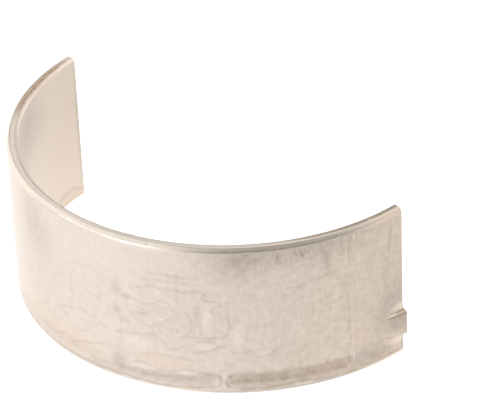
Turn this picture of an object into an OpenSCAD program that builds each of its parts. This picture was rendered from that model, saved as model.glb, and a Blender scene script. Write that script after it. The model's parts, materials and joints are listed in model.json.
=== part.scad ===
// Half shell of an engine's plain bearing, standing on one rim with its axis upright.
// It is drawn in its free state: a thin bimetal strip bent to an arc that springs a little
// wider than the rod's bore, so the two parting faces stop short of a full half turn.
// The origin is on the axis of the running surface, halfway along the shell's width.
// The parting faces look towards +Y, and the tang is at the +X end.

/* [Shell] */
// Diameter of the rod's big-end bore that the shell is pressed into
housing_d = 54; // [40:0.5:80]
// How much wider than that bore the back springs open when the shell is free
spring_open = 2; // [0.4:0.1:4]
// Thickness of the wall, steel back and lining together
wall = 1.5; // [1.2:0.05:3]
// Width of the shell along the shaft
width = 20.5; // [14:0.5:40]

/* [Edges] */
// Chamfer where the back meets each rim
back_chamfer = 0.4; // [0.1:0.05:0.6]
// Chamfer where the running surface meets each rim
bore_chamfer = 0.35; // [0.1:0.05:0.6]
// Broken edge where the back meets each parting face
parting_break = 0.15; // [0.05:0.05:0.4]

/* [Locating tang] */
// Width of the tang along the shaft, at the top of its lip
tang_w = 3; // [2:0.1:6]
// Distance of the lip from the lower rim
tang_from_rim = 3.1; // [2.4:0.1:6]
// Length of the tang's ramp around the back
tang_l = 3; // [2.6:0.1:6]
// Height of the lip above the back at the parting face
tang_h = 0.65; // [0.4:0.05:1.2]
// How far each sheared side of the lip slants out to its foot
flank_run = 0.3; // [0.1:0.05:0.5]
// Width of the shoulder that was drawn up with the lip on each side
shoulder_w = 1; // [0.5:0.1:1.2]
// Length of those shoulders around the back
shoulder_l = 2.5; // [1.5:0.1:2.5]
// Height of those shoulders at the foot of the lip
shoulder_h = 0.15; // [0.1:0.05:0.3]
// Width of the punch that raises the tang from inside
punch_w = 2.4; // [1.5:0.1:4]
// Length of the punch mark around the running surface
punch_l = 2.7; // [1.5:0.1:5]
// Depth of the punch mark at the parting face
punch_d = 0.65; // [0.3:0.05:1]

/* [Bore relief] */
// Length of the relief from each parting face
relief_l = 6; // [3:0.5:10]
// Depth of the relief below the running surface
relief_d = 0.03; // [0.02:0.01:0.1]

/* [Hidden] */
$fn = 180;

steel_colour = [0.83, 0.78, 0.73];

// Free radii, and the angle that the strip's length fills at the free radius
back_r = (housing_d + spring_open) / 2;
bore_r = back_r - wall;
arc_angle = 180 * housing_d / (2 * back_r);
// How far each parting face stops short of the X axis
end_angle = (180 - arc_angle) / 2;

half_width = width / 2;
tang_z = tang_from_rim + tang_w / 2 - half_width;
// Top and foot of one side of the lip in the parting face, measured from the tang's middle
lip_corner = [back_r + tang_h, 0, tang_w / 2];
flank_foot = [back_r + shoulder_h, 0, tang_w / 2 + flank_run];

// How far a cutting or joining solid runs past the face that it meets
overrun = 1;

// A point at a radius, an arc length away from the parting face at y = 0
function along_arc(radius, length) =
    let (turn = length / radius * 180 / PI)
    [radius * cos(turn), -radius * sin(turn)];

// Places its children at one end: the parting face then lies in y = 0, with the shell below it
module at_tang_end() {
    rotate([0, 0, -end_angle]) children();
}

module at_plain_end() {
    mirror([1, 0, 0]) at_tang_end() children();
}

module at_both_ends() {
    at_tang_end() children();
    at_plain_end() children();
}

// Section of the wall across its width, chamfered on all four edges
module wall_section() {
    polygon([
        [bore_r, bore_chamfer - half_width],
        [bore_r + bore_chamfer, -half_width],
        [back_r - back_chamfer, -half_width],
        [back_r, back_chamfer - half_width],
        [back_r, half_width - back_chamfer],
        [back_r - back_chamfer, half_width],
        [bore_r + bore_chamfer, half_width],
        [bore_r, half_width - bore_chamfer],
    ]);
}

module bent_wall() {
    rotate([0, 0, end_angle - 180]) rotate_extrude(angle = arc_angle) wall_section();
}

// Edge broken along a parting face, where it meets the back
module parting_edge() {
    linear_extrude(height = width + 2 * overrun, center = true)
        polygon([
            [back_r - parting_break, overrun],
            [back_r - parting_break, 0],
            [back_r, -parting_break],
            [back_r + overrun, -parting_break],
            [back_r + overrun, overrun],
        ]);
}

// Thin layer bored away next to a parting face, so that the joint can't scrape the shaft
module bore_relief() {
    relief_turn = relief_l / bore_r * 180 / PI;
    rotate([0, 0, -relief_turn])
        rotate_extrude(angle = 2 * relief_turn)
            translate([bore_r - overrun, -half_width - overrun])
                square([overrun + relief_d, width + 2 * overrun]);
}

// Ramp that rises to the parting face, with its root inside the wall
module tang_ramp(rise, length) {
    root = wall / 2;
    half_w = tang_w / 2 + flank_run + 1.2 * shoulder_w;
    linear_extrude(height = 2 * half_w, center = true)
        polygon([
            [back_r - root, 0],
            [back_r + rise, 0],
            along_arc(back_r, length),
            along_arc(back_r - root, length),
        ]);
}

// Block that fills the space behind the plane through three points
module behind_plane(first, second, third) {
    outward = cross(second - first, third - first);
    reach = 2 * (tang_w + tang_l);
    translate(first)
        rotate(a = acos(outward[0] / norm(outward)), v = cross([1, 0, 0], outward))
            translate([-reach, -reach, -reach]) cube([reach, 2 * reach, 2 * reach]);
}

// Lip pushed out of the wall: a ramp between two sheared sides that slant out to its foot
module tang_lip() {
    translate([0, 0, tang_z])
        intersection() {
            tang_ramp(tang_h, tang_l);
            tang_flank();
            mirror([0, 0, 1]) tang_flank();
        }
}

module tang_flank() {
    behind_plane(concat(along_arc(back_r, tang_l), tang_w / 2), lip_corner, flank_foot);
}

// Metal drawn up on both sides of the lip, falling away to the back
module tang_shoulders() {
    translate([0, 0, tang_z])
        intersection() {
            tang_ramp(2 * shoulder_h, shoulder_l);
            tang_shoulder();
            mirror([0, 0, 1]) tang_shoulder();
        }
}

module tang_shoulder() {
    shoulder_end = flank_foot + [-shoulder_h, 0, shoulder_w];
    behind_plane(concat(along_arc(back_r, shoulder_l), tang_w / 2), flank_foot, shoulder_end);
}

// Mark left inside by the punch: a ramp as deep as the lip is high, with a round far end
module punch_mark() {
    far_end = along_arc(bore_r, punch_l);
    slope = punch_d / -far_end[1];
    translate([0, 0, tang_z])
        intersection() {
            linear_extrude(height = 2 * punch_w, center = true)
                polygon([
                    [bore_r - overrun, overrun],
                    [bore_r + punch_d + slope * overrun, overrun],
                    far_end,
                    [bore_r - overrun, far_end[1]],
                ]);
            rotate([0, 90, 0]) translate([0, 0, bore_r - 2 * overrun])
                linear_extrude(height = 4 * overrun + punch_d) punch_plan(-far_end[1]);
        }
}

// Outline of the punch seen from the shaft, open past the parting face
module punch_plan(reach) {
    nose_r = punch_w / 2;
    translate([0, nose_r - reach]) circle(r = nose_r);
    translate([-nose_r, nose_r - reach]) square([punch_w, reach - nose_r + 2 * overrun]);
}

module bearing_shell() {
    color(steel_colour)
        difference() {
            union() {
                difference() {
                    union() {
                        bent_wall();
                        at_tang_end() tang_shoulders();
                    }
                    at_both_ends() {
                        parting_edge();
                        bore_relief();
                    }
                }
                at_tang_end() tang_lip();
            }
            at_tang_end() punch_mark();
        }
}

bearing_shell();
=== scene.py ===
"""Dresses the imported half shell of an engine's plain bearing, and sets up its studio."""

import json
import logging
import math
from dataclasses import dataclass
from enum import Enum
from typing import Any

import bpy
import numpy as np
from mathutils import Matrix, Vector

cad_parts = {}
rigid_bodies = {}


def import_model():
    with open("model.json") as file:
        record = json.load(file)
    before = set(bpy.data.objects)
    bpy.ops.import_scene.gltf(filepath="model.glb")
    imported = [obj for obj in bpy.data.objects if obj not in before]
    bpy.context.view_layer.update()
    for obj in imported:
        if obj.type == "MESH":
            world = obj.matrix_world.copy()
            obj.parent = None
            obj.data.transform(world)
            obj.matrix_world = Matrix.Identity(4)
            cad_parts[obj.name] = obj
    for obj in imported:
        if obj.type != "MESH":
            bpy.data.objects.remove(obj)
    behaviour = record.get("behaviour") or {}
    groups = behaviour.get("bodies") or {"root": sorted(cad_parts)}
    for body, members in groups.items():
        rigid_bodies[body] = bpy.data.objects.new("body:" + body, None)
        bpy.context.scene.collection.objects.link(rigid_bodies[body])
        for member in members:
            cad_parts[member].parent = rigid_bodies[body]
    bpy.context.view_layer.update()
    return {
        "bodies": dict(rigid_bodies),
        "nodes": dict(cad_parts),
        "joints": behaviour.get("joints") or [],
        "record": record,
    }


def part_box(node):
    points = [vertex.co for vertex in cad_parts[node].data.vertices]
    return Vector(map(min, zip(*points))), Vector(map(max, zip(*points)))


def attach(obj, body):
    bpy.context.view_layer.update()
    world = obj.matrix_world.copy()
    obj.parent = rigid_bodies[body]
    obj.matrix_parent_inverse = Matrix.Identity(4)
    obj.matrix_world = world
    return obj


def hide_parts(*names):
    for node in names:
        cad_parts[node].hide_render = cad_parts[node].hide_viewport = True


LOG = logging.getLogger("bearing_shell")

MM = 0.001
PHOTO_WIDTH_PX = 480
WHITE = "FFFFFF"

# Noise that disturbs a place as a drying liquid wanders. Its scale is in waves to a millimetre.
DRIFT_NOISE = {"Scale": 0.8, "Detail": 3.0, "Roughness": 0.55}
# Noise of a metal's grain, on a place that is counted in grains.
GRAIN_NOISE = {"Scale": 1.0, "Detail": 4.0, "Roughness": 0.65}
# The middle of any noise, and of a path's length as a share.
MIDDLE = 0.5
# How the grain thins the marks out: to four fifths in its hollows, and not at all on its crests.
GRAIN_THINNING = {"From Min": 0.35, "From Max": 0.6, "To Min": 0.8}
# Room that the curve of a path has beyond it, along the path and across it, in millimetres.
PATH_MARGIN = (0.0, 0.5)
# Sockets of a Mix node that mixes colours: the two that go in, and the one that comes out.
MIX_FROM, MIX_TO, MIXED = 6, 7, 2

Pair = tuple[float, float]
Tree = bpy.types.NodeTree
Socket = bpy.types.NodeSocket


class Skin(Enum):
    """The kinds of surface that the strip has, in the order of the shell's material slots."""

    BACK = 0
    BORE = 1
    EDGE = 2
    SHEAR = 3


class Place(Enum):
    """The pairs of numbers that tell where a point lies: a mesh attribute, and how far it strays.

    All begin with the arc length from the crown towards the tang, in millimetres. The second
    number is the height for STRIP and TIDE and the depth below the back for RIM, both in
    millimetres. For TANG it is 0 at the lip's edge and less on its ramp, 1 at the foot of its
    sheared side, 2 where the shoulder ends and 3 beyond. Where a pair strays, noise disturbs it
    by as many millimetres, so that what is drawn on it wanders as a drying liquid does.
    """

    STRIP = ("strip_mm", 0.0)
    TIDE = ("strip_mm", 0.3)
    RIM = ("rim_mm", 0.12)
    TANG = ("tang_share", 0.0)


class Tone(Enum):
    """What a mark turns the clean metal to, as a colour. Some tones also serve as painted light: the
    pale tones give painted highlights and sheen, and the cool and grey tones give painted shade.
    """

    GREY = "897D73"
    # A cool grey, also used as painted shade that dims highlights.
    COOL = "85837B"
    BROWN = "8C7A65"
    TAN = "C9AF91"
    # Pale patches, and painted highlights.
    LIGHT = "FFF3E6"
    # A cool pale tint of painted sheen and painted highlight.
    PAINTED_SHEEN = "E9E7F0"
    SOOT = "6B5B4A"


# The places and the tones by their bare names, as the lists of marks use them.
STRIP, TIDE, RIM, TANG = Place
GREY, COOL, BROWN, TAN, LIGHT, PAINTED_SHEEN, SOOT = Tone


def linear(hex_colour: str) -> tuple[float, float, float, float]:
    """Turns an sRGB hex colour to linear light, by the standard's curve with its straight foot.

    Args:
        hex_colour: Six hex digits, such as "CFC2B6".

    Returns:
        Red, green, blue and an alpha of one, as a shader's socket takes them.
    """
    channels = [int(hex_colour[i : i + 2], 16) / 255 for i in (0, 2, 4)]
    light = [c / 12.92 if c <= 0.04045 else ((c + 0.055) / 1.055) ** 2.4 for c in channels]
    return light[0], light[1], light[2], 1.0


def add_node(
    tree: Tree, kind: str, inputs: dict[str | int, Any], output: str | int = 0, **settings: Any
) -> Any:
    """Adds a node to a tree, with its settings and its links.

    Args:
        tree: The node tree.
        kind: The node's type without its first words, such as "Math" or "TexNoise".
        inputs: For each input, by name or number, a constant or the output socket that feeds it.
        output: Name or number of the output that is wanted.
        **settings: Properties of the node itself, such as its operation.

    Returns:
        The output socket, or the node itself where it has no output.
    """
    node = tree.nodes.new("ShaderNode" + kind)
    for name, value in settings.items():
        setattr(node, name, value)
    for name, value in inputs.items():
        if isinstance(value, Socket):
            tree.links.new(value, node.inputs[name])
        else:
            node.inputs[name].default_value = value
    return node.outputs[output] if len(node.outputs) else node


def bare_tree(owner: bpy.types.Material | bpy.types.World) -> Tree:
    """Gives a material or a world an empty node tree.

    Args:
        owner: The material or the world.

    Returns:
        Its tree.
    """
    owner.use_nodes = True
    owner.node_tree.nodes.clear()
    return owner.node_tree


def scene_object(name: str, data: bpy.types.ID) -> bpy.types.Object:
    """Makes an object of a mesh, a light or a camera, and links it to the scene.

    Args:
        name: The object's name.
        data: The mesh, light or camera.

    Returns:
        The object, at the origin.
    """
    made = bpy.data.objects.new(name, data)
    bpy.context.scene.collection.objects.link(made)
    return made


@dataclass(frozen=True)
class Blot:
    """A soft oval mark, given by its middle, its half sizes and how many degrees it leans.

    It fades to nothing over the soft share of its radius.
    """

    tone: Tone
    strength: float
    middle: Pair
    half: Pair
    soft: float = 1.0
    on: Place = Place.STRIP
    lean: float = 0.0

    def scaled(self, tree: Tree, place: Socket) -> Socket:
        """Measures a place from the oval's middle, along its own axes and in its own half sizes.

        Args:
            tree: The material's node tree.
            place: Socket of the pair of numbers that the mark is drawn on.

        Returns:
            Socket of the pair, whose length is one on the oval.
        """
        oval = {"Vector": place, "Location": (*self.middle, 0.0), "Scale": (*self.half, 1.0),
                "Rotation": (0.0, 0.0, math.radians(self.lean))}
        return add_node(tree, "Mapping", oval, vector_type="TEXTURE")

    def window(self, tree: Tree, radius: Socket) -> Socket:
        """Fades from one in the middle of the oval to nothing on it.

        Args:
            tree: The material's node tree.
            radius: Socket of the distance from the middle, which is one on the oval.

        Returns:
            Socket of a share, from zero to one.
        """
        edge = {"Value": radius, "From Min": 1.0, "From Max": 1.0 - self.soft}
        return add_node(tree, "MapRange", edge, interpolation_type="SMOOTHSTEP")

    def mask(self, tree: Tree, place: Socket) -> Socket:
        """Draws the mark: full in the middle, fading to nothing at the oval.

        Args:
            tree: The material's node tree.
            place: Socket of the pair of numbers that the mark is drawn on.

        Returns:
            Socket of the mark's share, from zero to one.
        """
        scaled = self.scaled(tree, place)
        radius = add_node(tree, "VectorMath", {0: scaled}, "Value", operation="LENGTH")
        return self.window(tree, radius)


@dataclass(frozen=True)
class Rings(Blot):
    """Thin rings about a middle, drawn only inside an oval and stretched as it is.

    Spacing, width and stray are shares of the oval's radius. The stray is how far noise shifts a
    ring.
    """

    spacing: float = 0.3
    width: float = 0.1
    stray: float = 0.0
    stray_scale: float = 2.4
    stray_detail: float = 1.0

    def mask(self, tree: Tree, place: Socket) -> Socket:
        """Draws the rings: the distance, disturbed by noise, folded to and fro at even steps.

        Args:
            tree: The material's node tree.
            place: Socket of the pair of numbers that the mark is drawn on.

        Returns:
            Socket of the mark's share, from zero to one.
        """
        scaled = self.scaled(tree, place)
        radius = add_node(tree, "VectorMath", {0: scaled}, "Value", operation="LENGTH")
        waves = {"Vector": scaled, "Scale": self.stray_scale, "Detail": self.stray_detail}
        noise = add_node(tree, "TexNoise", waves)
        bent = add_node(tree, "Math", {0: noise, 1: self.stray, 2: radius}, operation="MULTIPLY_ADD")
        fold = add_node(tree, "Math", {0: bent, 1: self.spacing / 2}, operation="PINGPONG")
        line = add_node(tree, "MapRange", {"Value": fold, "From Min": self.width, "From Max": 0.0})
        return add_node(tree, "Math", {0: line, 1: self.window(tree, radius)}, operation="MULTIPLY")


@dataclass(frozen=True)
class TideAndLightLine:
    """A soft wavy line or band, given by the points that it passes. Many are tide lines that dried
    liquid left; others are painted highlights and painted shade.

    It is full up to its core's distance from the path, and gone at its width's distance. Its ends
    fade over a share of its length.
    """

    tone: Tone
    strength: float
    path: tuple[Pair, ...]
    width: float = 0.34
    core: float = 0.0
    upright: bool = False
    fade: float = 0.06
    on: Place = Place.TIDE

    def mask(self, tree: Tree, place: Socket) -> Socket:
        """Draws the line: the path is a curve over one axis, and the other axis is compared with it.

        Args:
            tree: The material's node tree.
            place: Socket of the pair of numbers that the mark is drawn on.

        Returns:
            Socket of the mark's share, from zero to one.
        """
        along, across = ("Y", "X") if self.upright else ("X", "Y")
        points = np.array(self.path)[:, ::-1] if self.upright else np.array(self.path)
        points = points[np.argsort(points[:, 0])]
        low, high = points.min(axis=0) - PATH_MARGIN, points.max(axis=0) + PATH_MARGIN

        start = add_node(tree, "SeparateXYZ", {0: place}, along)
        share = add_node(tree, "MapRange", {"Value": start, "From Min": low[0], "From Max": high[0]})
        curve = tree.nodes.new("ShaderNodeFloatCurve")
        tree.links.new(share, curve.inputs["Value"])
        knots = curve.mapping.curves[0].points
        for number, (x, y) in enumerate((points - low) / (high - low)):
            if number < len(knots):
                knots[number].location = (x, y)
            else:
                knots.new(x, y)
        curve.mapping.update()
        rise = {0: curve.outputs[0], 1: high[1] - low[1], 2: low[1]}
        level = add_node(tree, "Math", rise, operation="MULTIPLY_ADD")
        other = add_node(tree, "SeparateXYZ", {0: place}, across)
        off = add_node(tree, "Math", {0: other, 1: level}, operation="SUBTRACT")
        off = add_node(tree, "Math", {0: off}, operation="ABSOLUTE")
        flank = {"Value": off, "From Min": self.width, "From Max": self.core}
        line = add_node(tree, "MapRange", flank, interpolation_type="SMOOTHSTEP")
        far = add_node(tree, "Math", {0: share, 1: MIDDLE}, operation="SUBTRACT")
        far = add_node(tree, "Math", {0: far}, operation="ABSOLUTE")
        fading = {"Value": far, "From Min": MIDDLE, "From Max": MIDDLE - self.fade}
        ends = add_node(tree, "MapRange", fading)
        return add_node(tree, "Math", {0: line, 1: ends}, operation="MULTIPLY")


Mark = Blot | TideAndLightLine


@dataclass(frozen=True)
class Finish:
    """A metal finish: its clean colour and roughness, the grain of its surface, and the marks on it,
    some of which are painted highlights and painted shade.

    Each layer of grain is how many grains lie in a millimetre along the strip and across it, and
    how far the grain turns the metal grey. The grain shows more and more over a span of the arc
    length, and stands a little proud of the metal. What is grey is rougher too.
    """

    name: str
    colour: str
    roughness: float
    grain: tuple[tuple[Pair, float], ...]
    marks: tuple[Mark, ...] = ()
    worn_span: Pair = (6.0, 32.0)
    worn_gain: Pair = (0.5, 1.6)
    relief_mm: float = 0.0012
    grey_roughness: float = 0.15

    def spot(self, tree: Tree, place: Place) -> Socket:
        """Reads a place from the mesh, and disturbs it if it strays.

        Args:
            tree: The material's node tree.
            place: Which pair of numbers to read.

        Returns:
            Socket of the pair.
        """
        name, stray = place.value
        vector = add_node(tree, "Attribute", {}, "Vector", attribute_name=name)
        if not stray:
            return vector
        noise = add_node(tree, "TexNoise", {"Vector": vector, **DRIFT_NOISE}, "Color")
        shift = (-stray, -stray, 0.0)
        scale = (2 * stray, 2 * stray, 0.0)
        drift = add_node(tree, "Mapping", {"Vector": noise, "Location": shift, "Scale": scale})
        return add_node(tree, "VectorMath", {0: vector, 1: drift}, operation="ADD")

    def amounts(self, tree: Tree) -> tuple[dict[Tone, Socket], Socket]:
        """Adds up the marks of each tone, thins them out with the first grain, and adds the grain.

        Args:
            tree: The material's node tree.

        Returns:
            For each tone, the socket of its share, and the socket of the first grain.
        """
        spots = {place: self.spot(tree, place) for place in Place}
        layers = []
        for scale, depth in self.grain:
            grains = add_node(tree, "Mapping", {"Vector": spots[Place.STRIP], "Scale": (*scale, 0.0)})
            layers.append((add_node(tree, "TexNoise", {"Vector": grains, **GRAIN_NOISE}), depth))
        first_grain = layers[0][0]
        thin = add_node(tree, "MapRange", {"Value": first_grain, **GRAIN_THINNING})

        sums: dict[Tone, Socket] = {}
        for mark in self.marks:
            share = {0: mark.mask(tree, spots[mark.on]), 1: mark.strength, 2: sums.get(mark.tone, 0.0)}
            sums[mark.tone] = add_node(tree, "Math", share, operation="MULTIPLY_ADD")
        for tone, amount in sums.items():
            sums[tone] = add_node(tree, "Math", {0: amount, 1: thin}, operation="MULTIPLY")
        arc = add_node(tree, "SeparateXYZ", {0: spots[Place.STRIP]}, "X")
        wear = {"Value": arc, "From Min": self.worn_span[0], "From Max": self.worn_span[1],
                "To Min": self.worn_gain[0], "To Max": self.worn_gain[1]}
        worn = add_node(tree, "MapRange", wear)
        for layer, depth in layers:
            off = add_node(tree, "Math", {0: layer, 1: MIDDLE}, operation="SUBTRACT")
            speck = add_node(tree, "Math", {0: off, 1: worn, 2: MIDDLE}, operation="MULTIPLY_ADD")
            grey = {0: speck, 1: depth, 2: sums.get(Tone.GREY, 0.0)}
            sums[Tone.GREY] = add_node(tree, "Math", grey, operation="MULTIPLY_ADD")
        return sums, first_grain

    def material(self) -> bpy.types.Material:
        """Makes the finish's material: a metal whose colour and roughness follow the marks.

        Returns:
            The material.
        """
        material = bpy.data.materials.new(self.name)
        tree = bare_tree(material)
        amounts, grain = self.amounts(tree)
        colour: Any = linear(self.colour)
        for tone, amount in amounts.items():
            mix = {0: amount, MIX_FROM: colour, MIX_TO: linear(tone.value)}
            colour = add_node(tree, "Mix", mix, MIXED, data_type="RGBA", clamp_factor=True)
        rougher = {0: amounts[Tone.GREY], 1: self.grey_roughness, 2: self.roughness}
        roughness = add_node(tree, "Math", rougher, operation="MULTIPLY_ADD")
        bump = add_node(tree, "Bump", {"Height": grain, "Distance": self.relief_mm * MM})
        look = {"Base Color": colour, "Metallic": 1.0, "Roughness": roughness, "Normal": bump}
        metal = add_node(tree, "BsdfPrincipled", look)
        add_node(tree, "OutputMaterial", {"Surface": metal})
        return material


# Two dark bands along the lower rim, with a pale lens and a brown one above the first. The second
# band is grey and brown on the same path.
SECOND_BAND: tuple[Pair, ...] = ((19.4, -7.95), (20.3, -7.85), (27.0, -7.85), (34.6, -7.85))
LOWER_BANDS: tuple[Mark, ...] = (
    TideAndLightLine(GREY, 0.15, ((6.0, -8.2), (9.0, -8.2), (13.0, -8.15), (17.0, -8.0)), 0.75, fade=0.15),
    TideAndLightLine(GREY, 0.14, ((1.0, -8.8), (8.0, -8.6), (18.2, -8.4)), 0.9, 0.2),
    TideAndLightLine(BROWN, 0.10, ((7.7, -7.9), (9.0, -7.85), (11.0, -7.8), (13.0, -7.85), (16.0, -7.75)), 0.2),
    Blot(GREY, 0.18, (17.1, -7.5), (2.0, 0.8), 1.0, TIDE),
    TideAndLightLine(GREY, 0.14, ((7.5, -7.4), (7.8, -7.05), (8.3, -6.85), (8.8, -6.75), (9.5, -6.95),
                          (10.3, -7.2), (11.2, -7.35), (12.5, -7.4), (13.4, -7.2), (14.2, -6.95),
                          (15.0, -6.85), (15.8, -7.0), (16.6, -7.15), (17.5, -7.3), (18.2, -7.6)),
             fade=0.02),
    TideAndLightLine(GREY, 0.25, ((18.1, -7.2), (18.5, -7.7), (18.65, -8.2), (18.55, -8.6), (18.3, -8.9),
                          (17.9, -9.15)), 0.48, upright=True),
    TideAndLightLine(BROWN, 0.38, ((-14.0, -9.35), (0.0, -9.4), (8.0, -9.35), (9.5, -9.45), (12.0, -9.5),
                           (14.0, -9.4), (16.0, -9.3), (18.3, -9.0)), 0.3, fade=0.02),
    Blot(GREY, 0.19, (6.0, -7.7), (1.8, 1.7), 0.9, TIDE),
    Blot(GREY, 0.10, (5.8, -6.2), (1.5, 2.4), 1.0, TIDE),
    Blot(LIGHT, 0.08, (9.4, -7.4), (1.7, 0.45), 0.6, TIDE),
    Blot(LIGHT, 0.07, (14.6, -7.4), (1.4, 0.4), 0.6, TIDE),
    Blot(LIGHT, 0.12, (18.93, -8.3), (0.3, 1.3), 0.9),
    Blot(TAN, 0.24, (11.6, -6.1), (5.4, 1.3), 0.8, TIDE),
    TideAndLightLine(BROWN, 0.14, ((7.0, -6.2), (8.4, -5.75), (9.6, -5.35), (11.2, -5.1), (13.0, -5.2),
                           (15.2, -5.5), (16.2, -5.8), (16.8, -6.5), (17.1, -7.0))),
    TideAndLightLine(BROWN, 0.18, ((-20.0, -8.4), (-8.0, -8.1), (-2.0, -7.9), (3.0, -7.7), (5.5, -7.6)), 1.5,
             0.2, fade=0.25),
    TideAndLightLine(TAN, 0.20, ((-19.0, -6.9), (-6.0, -6.8), (0.0, -7.1), (5.0, -7.4)), 2.2, 0.4, fade=0.25),
    TideAndLightLine(BROWN, 0.18, ((-1.9, -7.9), (-0.3, -7.2), (1.1, -6.8), (2.3, -6.5))),
    TideAndLightLine(BROWN, 0.18, ((-4.8, -8.2), (-3.6, -7.5), (-2.4, -6.7))),
    Blot(GREY, 0.06, (25.0, -8.3), (9.0, 2.6)),
    Blot(GREY, 0.06, (26.0, -5.0), (6.0, 3.0)),
    TideAndLightLine(GREY, 0.22, SECOND_BAND, 1.05, 0.3, fade=0.02),
    TideAndLightLine(BROWN, 0.25, SECOND_BAND, 1.05, 0.3, fade=0.02),
    TideAndLightLine(COOL, 0.20, ((34.0, -7.8), (36.0, -7.8), (38.0, -7.9), (41.0, -8.2)), 1.0, fade=0.1),
    Blot(COOL, 0.24, (36.9, -7.6), (3.6, 2.2), 0.9, TIDE),
    TideAndLightLine(GREY, 0.20, ((19.6, -8.7), (26.0, -8.8), (34.0, -8.8), (41.0, -8.9)), 1.0, 0.2, fade=0.05),
    TideAndLightLine(GREY, 0.32, ((19.9, -7.25), (19.5, -7.6), (19.3, -8.0), (19.22, -8.4), (19.4, -8.8),
                          (19.9, -9.2)), 0.4, upright=True),
    TideAndLightLine(BROWN, 0.44, ((19.9, -9.1), (20.6, -9.35), (22.0, -9.45), (24.0, -9.4), (25.5, -9.3),
                           (26.8, -9.15), (28.2, -9.08), (29.2, -9.2), (30.2, -9.4), (32.0, -9.5),
                           (34.5, -9.45), (37.0, -9.4), (42.3, -9.45)), 0.3),
)

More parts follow.
